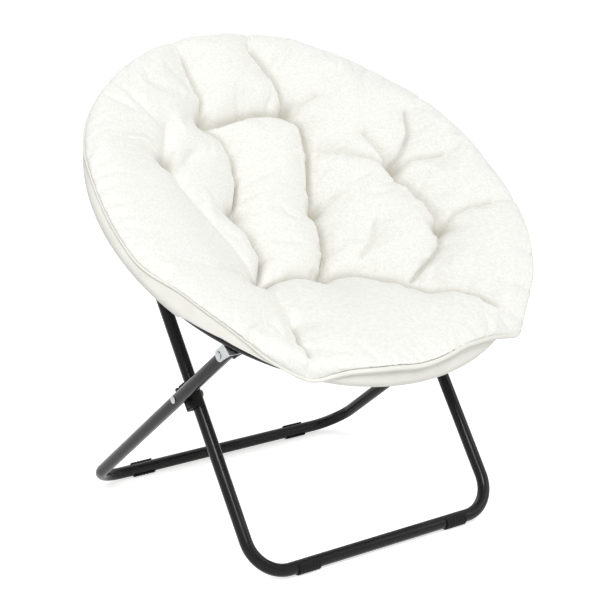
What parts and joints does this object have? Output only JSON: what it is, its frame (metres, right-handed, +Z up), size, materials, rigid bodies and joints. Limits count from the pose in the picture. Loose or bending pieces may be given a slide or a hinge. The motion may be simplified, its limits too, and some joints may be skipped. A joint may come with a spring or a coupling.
{
  "type": "folding saucer chair",
  "caption": "Folding saucer chair: a tilted tube ring carries a tufted plush bowl seat on two crossed U legs; the legs close like scissors as the ring folds upward in half.",
  "frame": {"origin": "middle of the chair's outline, on the floor", "axes": "+Z up, the sitter faces -Y, +X to the right seen from the front"},
  "size_m": [0.7872, 0.6528, 0.815],
  "materials": {
    "powder_coat": "black semi-gloss powder coat on steel tube",
    "zinc": "bright zinc plate",
    "black_plastic": "moulded black polypropylene",
    "plush": "off-white short-pile faux fur",
    "backing": "smooth off-white woven polyester"
  },
  "bodies": {
    "front_leg": {"front_leg_tube": "powder_coat", "front_leg_plug_left": "black_plastic", "front_leg_plug_right": "black_plastic", "front_foot_left": "black_plastic", "front_foot_right": "black_plastic", "crossing_saddle_left": "black_plastic", "crossing_saddle_right": "black_plastic", "crossing_rivet_left": "zinc", "crossing_rivet_right": "zinc"},
    "rear_leg": {"rear_leg_tube": "powder_coat", "rear_leg_plug_left": "black_plastic", "rear_leg_plug_right": "black_plastic", "rear_foot_left": "black_plastic", "rear_foot_right": "black_plastic"},
    "ring_rear": {"ring_rear_tube": "powder_coat", "rear_bracket_left": "zinc", "rear_bracket_right": "zinc", "rear_bracket_rivet_left": "zinc", "rear_bracket_rivet_right": "zinc", "rear_bracket_pin_left": "zinc", "rear_bracket_pin_right": "zinc", "ring_hinge_rivet_outer_left": "zinc", "ring_hinge_rivet_outer_right": "zinc", "seat_sling_rear": "backing", "seat_cushion_rear": "plush", "seat_piping_rear": "backing"},
    "ring_front": {"ring_front_tube": "powder_coat", "front_bracket_left": "zinc", "front_bracket_right": "zinc", "front_bracket_rivet_left": "zinc", "front_bracket_rivet_right": "zinc", "front_bracket_pin_left": "zinc", "front_bracket_pin_right": "zinc", "ring_hinge_rivet_inner_left": "zinc", "ring_hinge_rivet_inner_right": "zinc", "seat_sling_front": "backing", "seat_cushion_front": "plush", "seat_piping_front": "backing"}
  },
  "joints": [
    {"name": "leg_fold", "type": "hinge", "parent": "front_leg", "child": "rear_leg", "pos_m": [0, -0.02209, 0.27049], "axis": [-1, 0, 0], "range_deg": [0, 58]},
    {"name": "rear_arc_fold", "type": "hinge", "parent": "front_leg", "child": "ring_rear", "pos_m": [0, 0.27245, 0.67762], "axis": [1, 0, 0], "range_deg": [0, 22.8], "deforming": ["seat_sling_rear", "seat_cushion_rear", "seat_piping_rear"]},
    {"name": "front_arc_fold", "type": "hinge", "parent": "rear_leg", "child": "ring_front", "pos_m": [0, -0.17065, 0.38678], "axis": [-1, 0, 0], "range_deg": [0, 87.03], "deforming": ["seat_sling_front", "seat_cushion_front", "seat_piping_front"]}
  ],
  "couplings": [
    {"joint": "rear_arc_fold", "follows": "leg_fold", "ratio": 0.39299},
    {"joint": "front_arc_fold", "follows": "leg_fold", "ratio": 1.5004}
  ]
}
